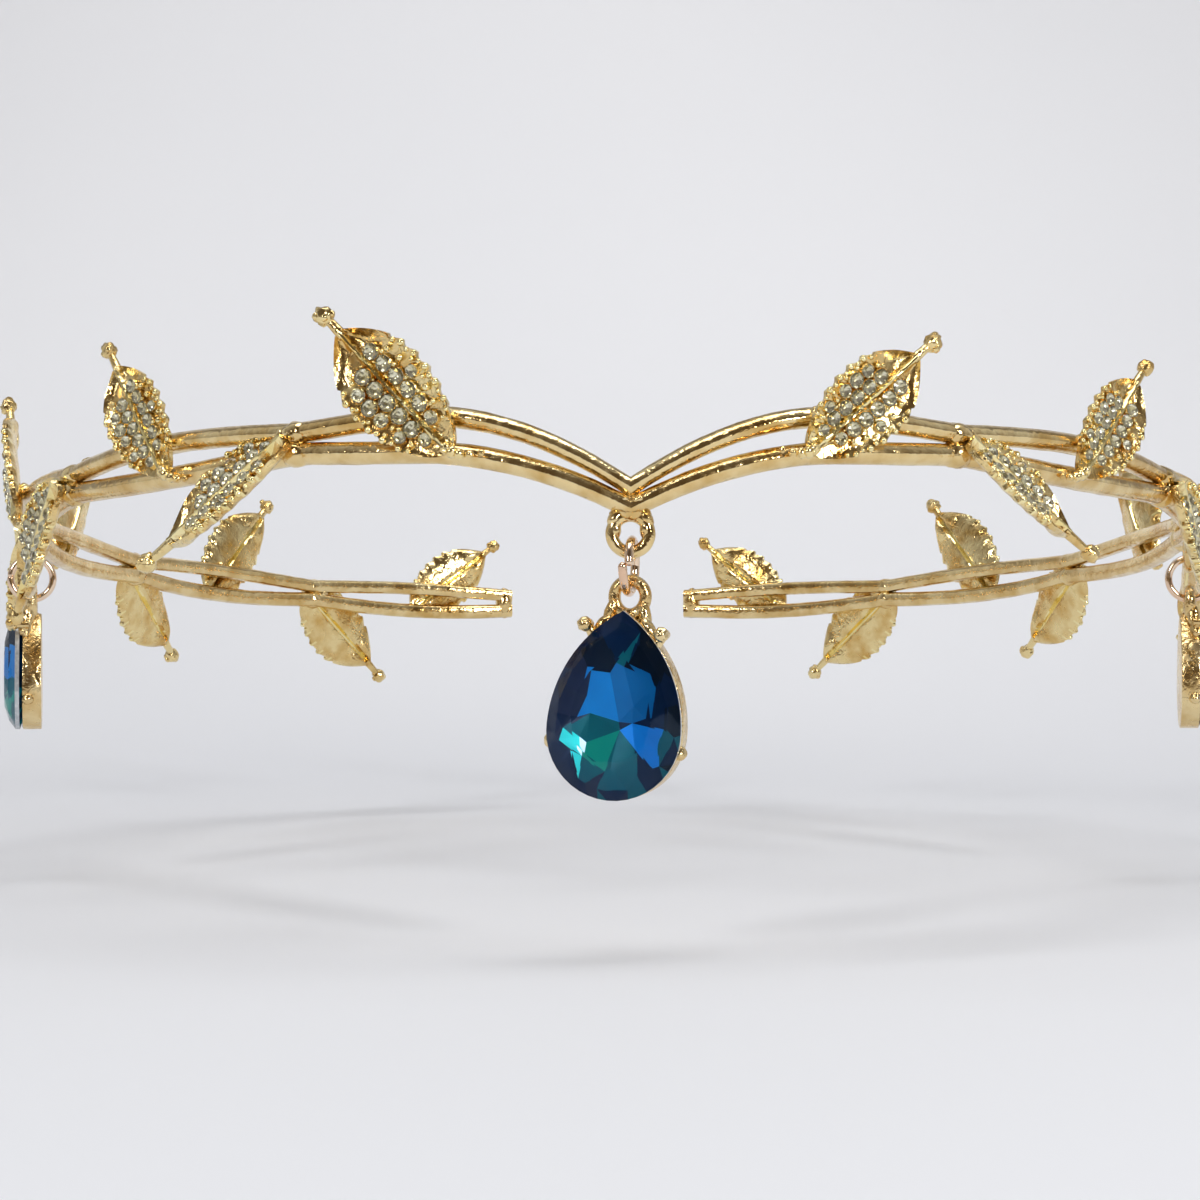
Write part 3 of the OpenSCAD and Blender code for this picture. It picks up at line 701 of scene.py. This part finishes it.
# part of the way round from the tip, distance from the rim, depth of the ball, length of its pin
CLAWS = (
    (0.1, 1.1, -0.35, 1.95), (0.34, -0.05, 1.5, 0.6), (0.66, -0.05, 1.5, 0.6), (0.91, 1.1, -0.35, 1.95))
FRONT_TURN, FRONT_LEAN = radians(-14), radians(5)
hung = Matrix.Translation((0, 0, RING_FOOT)) @ Matrix.Rotation(FRONT_TURN, 4, "Z")
hung = hung @ Matrix.Rotation(FRONT_LEAN, 4, "Y") @ Matrix.Translation((0, 0, -RING_FOOT))
HANGS = {"front": DROPS["front"] @ hung, "left": DROPS["left"], "right": DROPS["right"]}
STONES = {"front": (13.0, 18.0), "left": (10.0, 14.0), "right": (10.0, 14.0)}
# the share of the outline, from the tip down one side, that is the long flank's arc
LONG = 5 / 16


def pear(f, w, h):
    """A point of the pear's outline, f of the way round from its tip; height 0 is its widest level."""
    up = h - w / 2
    long = (up * up + w * w / 4) / w
    way = 1 if f <= 0.5 else -1
    g = f if f <= 0.5 else 1 - f
    if g < LONG:
        turn = asin(up / long) * (1 - g / LONG)
        return way * (w / 2 - long + long * cos(turn)), long * sin(turn)
    turn = -pi / 2 * (g - LONG) / (0.5 - LONG)
    return way * w / 2 * cos(turn), w / 2 * sin(turn)


def pear_line(mesh, count, w, h, part, y, shift=0.0):
    """An outline's corners at depth y, shrunk round a point above the widest level."""
    hub, corners = HUB * h, []
    for i in range(count):
        x, z = pear((i + shift) / count % 1, w, h)
        corners.append(mesh.verts.new((part * x, y, hub + part * (z - hub))))
    return corners


def face_of(geom):
    return next(g for g in geom if isinstance(g, bmesh.types.BMFace))


def pear_cup(w, h):
    """A block of the pear's outline, hollowed from its mouth, with its two outer edges rounded."""
    seat, room = GIRDLE_H + CUP_SEAT, PAVILION * w + CUP_ROOM
    cup = bmesh.new()
    base = cup.faces.new(pear_line(cup, CUP_CORNERS, w, h, 1.0, seat + room + CUP_FLOOR))
    mouth = face_of(bmesh.ops.extrude_face_region(cup, geom=[base])["geom"])
    bmesh.ops.translate(cup, vec=(0, -(room + CUP_FLOOR), 0), verts=mouth.verts)
    bmesh.ops.inset_region(cup, faces=[mouth], thickness=CUP_WALL, use_even_offset=True)
    pit = face_of(bmesh.ops.extrude_face_region(cup, geom=[mouth])["geom"])
    bmesh.ops.translate(cup, vec=(0, room, 0), verts=pit.verts)
    # the extrusion leaves the old face over the mouth
    bmesh.ops.delete(cup, geom=[mouth], context="FACES_ONLY")
    bmesh.ops.remove_doubles(cup, verts=cup.verts, dist=0.001)
    edges = []
    for edge in cup.edges:
        near, far = (vert.co.y for vert in edge.verts)
        outer = near > seat + room + 0.2 or near < seat + 0.01
        if outer and abs(near - far) < 0.01 and edge.calc_face_angle(0) > radians(60):
            edges.append(edge)
    bmesh.ops.bevel(cup, geom=edges, offset=CUP_ROUND, offset_type="OFFSET", segments=3, profile=0.5,
                    affect="EDGES", material=-1)
    return cup


def claw(mesh, row, w, h):
    """A ball on a pin that runs back, tied to the cup by a short arm; the ear's ball is scored."""
    f, off, ahead, pin = row
    rim, spot = pear(f, w, h), pear(f, w + 2 * off, h + 2 * off)
    away = (spot[0] - rim[0], spot[1] - rim[1])
    ball = bmesh.ops.create_icosphere(mesh, subdivisions=3, radius=CLAW_BALL_D / 2)["verts"]
    for vert in ball:
        scored = 0.09 * sin(8 * vert.co.x) * sin(8 * vert.co.z + 1) if off > EAR_OFF else 0.0
        swell = 1 + scored + 0.12 * noise.noise(vert.co * 2 + Vector((f, w, 0)))
        vert.co = vert.co * swell + Vector((spot[0], ahead, spot[1]))
    back = bmesh.ops.create_cone(mesh, cap_ends=True, segments=14, radius1=CLAW_D / 2,
                                 radius2=CLAW_D / 2 * 1.1, depth=pin)["verts"]
    lie = Matrix.Translation((spot[0], ahead + pin / 2, spot[1])) @ Matrix.Rotation(-pi / 2, 4, "X")
    bmesh.ops.transform(mesh, matrix=lie, verts=back)
    length = hypot(*away) + 0.15
    arm = bmesh.ops.create_cone(mesh, cap_ends=True, segments=14, radius1=CLAW_D / 2, radius2=CLAW_D / 2,
                                depth=length)["verts"]
    tilt = Matrix.Rotation(atan2(-away[0], -away[1]), 4, "Y") @ Matrix.Translation((0, 0, length / 2))
    foot = Matrix.Translation((spot[0], ahead + pin - CLAW_D / 2, spot[1]))
    bmesh.ops.transform(mesh, matrix=foot @ tilt, verts=arm)


def cast_bail():
    """The bail, long at its foot, with shoulders and a neck that run into the cup's tip."""
    bail = bmesh.new()
    wire_ring(bail, BAIL_D, BAIL_WIRE * THINNER, 48)
    for vert in bail.verts:
        vert.co.y *= 1.1
        if vert.co.z < 0:
            vert.co.z *= 1.2
    for x in (-1.0, 1.0):
        lump(bail, Vector((1.7 * x, -0.4, -1.7)), 0, (0.6, 0.75, 1.5), 5 * x, 0.12, tip=radians(-14 * x))
        lump(bail, Vector((2.3 * x, -0.75, -3.0)), 0, (0.62, 0.8, 1.4), 7 * x, 0.2, tip=radians(-34 * x))
    neck = bmesh.ops.create_cone(bail, cap_ends=True, segments=20, radius1=0.9, radius2=0.82,
                                 depth=1.6)["verts"]
    lie = Matrix.Translation((0, 0, -BAIL_D / 2)) @ Matrix.Rotation(-pi / 2, 4, "X")
    bmesh.ops.transform(bail, matrix=lie, verts=neck)
    bmesh.ops.translate(bail, vec=(0, 0, BAIL_MIDDLE), verts=bail.verts)
    return bail


drop_gold = plated("drop_gold", (0.88, 0.7, 0.38), (0.68, 0.45, 0.17), ripple=0.7, smooth=0.12, rough=0.32)
for label, (w, h) in STONES.items():
    cup = pear_cup(w, h)
    for row in CLAWS:
        claw(cup, row, w, h)
    bmesh.ops.translate(cup, vec=(0, -AHEAD * w, TIP_Z - (h - w / 2)), verts=cup.verts)
    poured(cup, cast_bail())
    bmesh.ops.transform(cup, matrix=HANGS[label], verts=cup.verts)
    bmesh.ops.recalc_face_normals(cup, faces=cup.faces)
    setting = finished(cup, "setting_" + label, [drop_gold], label + "_drop", sharp=40)
    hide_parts(label + "_setting")


# The blue pears
# Cut crystal with a coloured foil on its pavilion, which throws back navy, bright blue and sea green; each
# facet's foil is painted with that reflection, from black to a white-blue glint, and glows with painted
# light.
# The girdle is left matt, and shows as a silver-grey band.
CROWN_CORNERS, GIRDLE_CORNERS = 12, 56
TABLE_PART, BREAK_PART, BREAK_HEIGHT = 0.6, 0.84, 0.6
PAVILION_CURVE = 1.5
blue_glass = cut_glass("blue_glass", (0.74, 0.9, 1.0), 1.58, (0.3, 0.36, 0.45))
girdle_glass, girdle_tree, girdle_shader = new_finish("girdle_glass", {"Metallic": 0.6, "Roughness": 0.35})
girdle_scratch = add_node(girdle_tree, "ShaderNodeTexNoise", Scale=2400.0, Detail=3.0)
girdle_tone = two_tones(girdle_tree, girdle_scratch, "Fac", (0.3, 0.34, 0.38), (0.85, 0.87, 0.88))
girdle_tree.links.new(girdle_tone, girdle_shader.inputs["Base Color"])
# each foil's colour is partly the stone's own blue and green and partly painted reflection; its emission is
# painted light
FOILS = [
    foil("black_foil", (0.0, 0.002, 0.008), (0.0, 0.01, 0.03), 0.3, 180.0, 0.5, 0.3),
    foil("navy_foil", (0.0, 0.004, 0.02), (0.0, 0.018, 0.07), 0.3, 220.0, 0.5, 0.35),
    foil("blue_foil", (0.0, 0.11, 0.36), (0.0, 0.25, 0.7), 0.3, 160.0, 0.4, 0.36),
    foil("mid_foil", (0.0, 0.07, 0.24), (0.0, 0.16, 0.44), 0.3, 160.0, 0.4, 0.36),
    foil("azure_foil", (0.0, 0.12, 0.5), (0.0, 0.28, 0.85), 0.3, 200.0, 0.4, 0.36),
    foil("deep_teal_foil", (0.0, 0.06, 0.1), (0.0, 0.13, 0.16), 0.3, 200.0, 0.4, 0.4),
    foil("green_foil", (0.0, 0.16, 0.16), (0.0, 0.34, 0.24), 0.3, 200.0, 0.4, 0.4),
    foil("sea_foil", (0.0, 0.5, 0.5), (0.05, 0.95, 0.9), 0.3, 300.0, 0.4, 0.45),
    foil("grey_foil", (0.008, 0.014, 0.035), (0.025, 0.035, 0.08), 0.3, 240.0, 0.5, 0.3),
    foil("glint_foil", (0.5, 0.8, 1.0), (0.8, 0.95, 1.0), 0.2, 300.0, 0.4, 0.9)]
BLACK, NAVY, BLUE, MID, AZURE, TEAL, GREEN, SEA, GREY, GLINT = range(len(FOILS))
# corners of the pavilion's main facets, in parts of the stone's width from the middle of its widest level
PLAN = {
    "a": (-0.205, 0.432), "b": (-0.068, 0.426), "c": (-0.028, 0.503), "d": (0.118, 0.724),
    "e": (0.032, 0.479), "f": (0.2, 0.426), "g": (0.244, 0.334), "h": (0.225, 0.119), "i": (0.023, 0.074),
    "j": (-0.192, 0.119), "k": (-0.284, 0.082), "l": (-0.224, 0.248), "m": (-0.351, 0.002),
    "n": (0.035, 0.015), "o": (-0.2, -0.095), "p": (-0.253, -0.059), "q": (-0.376, -0.083),
    "r": (-0.205, -0.175), "s": (-0.041, -0.267), "t": (-0.003, -0.243), "u": (-0.224, -0.335),
    "v": (0.162, -0.108), "w": (0.276, -0.218), "x": (0.329, -0.2), "y": (0.301, -0.071),
    "z": (0.329, 0.052), "A": (0.124, 0.074), "B": (0.124, 0.199), "C": (-0.243, -0.126),
    "D": (-0.281, -0.145), "E": (-0.173, -0.366), "F": (0.187, -0.267), "G": (0.42, 0.24),
    "H": (0.33, 0.2), "I": (0.3, 0.45), "J": (0.1, 0.6), "K": (-0.27, 0.55), "L": (-0.12, 0.66),
    "M": (-0.37, 0.28), "N": (0.13, -0.39), "O": (-0.08, -0.4), "P": (0.41, 0.0), "Q": (-0.42, 0.1)}
# each facet by its corners, with its foil, whose tone is the painted reflection that the facet shows
FACETS = [
    ("abijkl", BLUE), ("bceBi", MID), ("efghAiB", MID), ("cde", TEAL), ("nAzyxwv", AZURE), ("mjinop", TEAL),
    ("ntsro", GREEN), ("mpCrq", SEA), ("porC", GLINT), ("Dru", SEA), ("rsEu", TEAL), ("nvFts", TEAL),
    ("abcLK", BLACK), ("cdL", NAVY), ("efgIJ", BLACK), ("edJ", NAVY), ("gHh", NAVY), ("gIGH", NAVY),
    ("HGPz", BLACK), ("hHzA", NAVY), ("zPxy", TEAL), ("kjm", GREY), ("lkQM", GREY), ("aKMl", GREY),
    ("kmQ", NAVY), ("vwF", NAVY), ("FtsON", TEAL), ("sOE", GREY)]


def pavilion_depth(x, z, w, h):
    """How deep the foil lies behind a point: least at the girdle, most at the hub."""
    hub, way = HUB * h, atan2(x, z - HUB * h)
    reach = 1e9
    for i in range(120):
        at_x, at_z = pear(i / 120, w, h)
        gap = abs((atan2(at_x, at_z - hub) - way + pi) % (2 * pi) - pi)
        if gap < reach:
            reach, rim = gap, hypot(at_x, at_z - hub)
    part = min(1.0, hypot(x, z - hub) / rim)
    return GIRDLE_H + PAVILION * w * (1 - part ** PAVILION_CURVE)


def loose_tone(x, z, w):
    """The foil of a facet that the plan leaves free, with its painted reflection chosen by where the facet
    lies.
    """
    x, z = x / w, z / w
    if z > 0.4:
        return NAVY if x < 0.05 else BLACK
    if x < -0.2:
        return GREY if z > -0.1 else NAVY
    if z < -0.3:
        return (TEAL, NAVY, GREY)[int(13 * (x + 1)) % 3]
    return (BLACK, NAVY, NAVY, TEAL)[int(17 * (x + 1) + 11 * (z + 1)) % 4]


def pavilion(mesh, w, h):
    """The back of the stone: the plan's facets, joined to the girdle by smaller ones."""
    names, count = list(PLAN), GIRDLE_CORNERS
    girdle = [Vector(pear(i / count, w, h)) for i in range(count)]
    spots = [Vector((PLAN[n][0] * w, PLAN[n][1] * w)) for n in names] + girdle
    rim = [(len(names) + i, len(names) + (i + 1) % count) for i in range(count)]
    plans = []
    for corners, _ in FACETS:
        loop = [names.index(n) for n in corners]
        turn = sum(spots[a].cross(spots[b]) for a, b in zip(loop, loop[1:] + loop[:1]))
        plans.append(loop if turn > 0 else loop[::-1])
    laid, _, faces, _, _, sources = delaunay_2d_cdt(spots, rim, plans, 1, 1e-4)
    verts = []
    for spot in laid:
        on_rim = any((spot - corner).length < 1e-3 for corner in girdle)
        depth = GIRDLE_H if on_rim else pavilion_depth(spot.x, spot.y, w, h)
        verts.append(mesh.verts.new((spot.x, depth, spot.y)))
    for corners, source in zip(faces, sources):
        face = mesh.faces.new([verts[c] for c in corners])
        middle = face.calc_center_median()
        tone = FACETS[source[0]][1] if source else loose_tone(middle.x, middle.z, w)
        face.material_index = STONE_FINISHES.index(FOILS[tone])


STONE_FINISHES = [blue_glass, girdle_glass, *FOILS]
for label, (w, h) in STONES.items():
    stone = bmesh.new()
    crown = -CROWN * w
    corners = pear_line(stone, CROWN_CORNERS, w, h, TABLE_PART, crown, 0.5)
    corners += pear_line(stone, CROWN_CORNERS, w, h, BREAK_PART, crown * BREAK_HEIGHT)
    corners += pear_line(stone, GIRDLE_CORNERS, w, h, 1.0, 0.0)
    corners += pear_line(stone, GIRDLE_CORNERS, w, h, 1.0, GIRDLE_H)
    bmesh.ops.convex_hull(stone, input=corners)
    behind = [f for f in stone.faces if f.calc_center_median().y > GIRDLE_H - 0.001]
    bmesh.ops.delete(stone, geom=behind, context="FACES")
    bmesh.ops.dissolve_limit(stone, angle_limit=radians(1), verts=stone.verts, edges=stone.edges)
    for face in stone.faces:
        on_girdle = abs(face.calc_center_median().y - GIRDLE_H / 2) < 0.2
        face.material_index = int(on_girdle)
    pavilion(stone, w, h)
    bmesh.ops.remove_doubles(stone, verts=stone.verts, dist=0.002)
    bmesh.ops.translate(stone, vec=(0, -AHEAD * w, TIP_Z - (h - w / 2)), verts=stone.verts)
    bmesh.ops.transform(stone, matrix=HANGS[label], verts=stone.verts)
    bmesh.ops.recalc_face_normals(stone, faces=stone.faces)
    gem = finished(stone, "pear_stone_" + label, STONE_FINISHES, label + "_drop", smooth=False)
    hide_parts(label + "_stone")


# The studio
# A pale sweep of paper stands behind and under the circlet, with large soft lights above and beside it
# and a darker room behind the camera for the metal to reflect. All of it is in metres.
FLOOR_Z, FLOOR_FRONT, FLOOR_BACK = -0.042, -0.36, 0.25
PAPER_CURVE, PAPER_TOP, PAPER_HALF = 0.55, 1.6, 1.4
profile = [(FLOOR_FRONT, FLOOR_Z), (FLOOR_BACK, FLOOR_Z)]
for turn in range(6, 91, 6):
    rise = PAPER_CURVE * (1 - cos(radians(turn)))
    profile.append((FLOOR_BACK + PAPER_CURVE * sin(radians(turn)), FLOOR_Z + rise))
profile.append((FLOOR_BACK + PAPER_CURVE, PAPER_TOP))
sweep = bmesh.new()
line = [sweep.verts.new((-PAPER_HALF, y, z)) for y, z in profile]
runs = [sweep.edges.new(pair) for pair in zip(line, line[1:])]
drawn = bmesh.ops.extrude_edge_only(sweep, edges=runs)["geom"]
bmesh.ops.translate(sweep, vec=(2 * PAPER_HALF, 0, 0), verts=corners_of(drawn))
bmesh.ops.recalc_face_normals(sweep, faces=sweep.faces)
paper_data = bpy.data.meshes.new("paper")
sweep.to_mesh(paper_data)
sweep.free()
paper_data.polygons.foreach_set("use_smooth", [True] * len(paper_data.polygons))
paper = bpy.data.objects.new("paper", paper_data)
bpy.context.scene.collection.objects.link(paper)
paper_material, paper_tree, paper_shader = new_finish("paper_white", {"Roughness": 0.85})
paper_cloud = add_node(paper_tree, "ShaderNodeTexNoise", Scale=2.2, Detail=1.0)
paper_tone = two_tones(paper_tree, paper_cloud, "Fac", (0.69, 0.71, 0.755), (0.87, 0.88, 0.91))
paper_tree.links.new(paper_tone, paper_shader.inputs["Base Color"])
paper_data.materials.append(paper_material)

room_world = bpy.data.worlds.new("room")
bpy.context.scene.world = room_world
room_world.use_nodes = True
room_tree = room_world.node_tree
backdrop = room_tree.nodes["Background"]
facing = add_node(room_tree, "ShaderNodeTexCoord")
split = add_node(room_tree, "ShaderNodeSeparateXYZ")
shade = add_node(room_tree, "ShaderNodeMapRange", **{"From Min": -0.55, "From Max": 0.5})
room_mix = add_node(room_tree, "ShaderNodeMix", data_type="RGBA")
room_mix.inputs["A"].default_value = (0.12, 0.09, 0.06, 1)
room_mix.inputs["B"].default_value = (0.85, 0.88, 0.93, 1)
room_tree.links.new(facing.outputs["Generated"], split.inputs["Vector"])
room_tree.links.new(split.outputs["Y"], shade.inputs["Value"])
room_tree.links.new(shade.outputs["Result"], room_mix.inputs["Factor"])
room_tree.links.new(room_mix.outputs["Result"], backdrop.inputs["Color"])
backdrop.inputs["Strength"].default_value = 0.8


def soft_light(name, place, aim, width, height, power):
    lamp = bpy.data.lights.new(name, "AREA")
    lamp.shape = "RECTANGLE"
    lamp.size, lamp.size_y, lamp.energy = width, height, power
    holder = bpy.data.objects.new(name, lamp)
    bpy.context.scene.collection.objects.link(holder)
    holder.location = place
    holder.rotation_euler = (Vector(aim) - Vector(place)).to_track_quat("-Z", "Y").to_euler()


soft_light("window_left", (-0.513, -0.693, 0.43), (0, 0, 0), 0.12, 0.26, 1.9)
soft_light("ceiling", (0.05, -0.1, 0.8), (0, 0, 0), 0.7, 0.3, 2.6)
soft_light("window_right", (0.475, -0.673, 0.282), (0, 0, 0), 0.11, 0.22, 3.0)
soft_light("back_glow", (0, 0.3, 0.45), (0, 0.8, 0.12), 0.9, 0.3, 1.4)

camera_data = bpy.data.cameras.new("camera")
camera_data.sensor_width = 36
camera_data.lens = 77.2
camera_data.clip_start = 0.01
camera = bpy.data.objects.new("camera", camera_data)
bpy.context.scene.collection.objects.link(camera)
camera.location = (-0.0076, -0.3309, -0.0078)
camera.rotation_euler = (radians(90), 0, radians(-1.1))
bpy.context.scene.camera = camera
bpy.context.scene.view_settings.view_transform = "Standard"
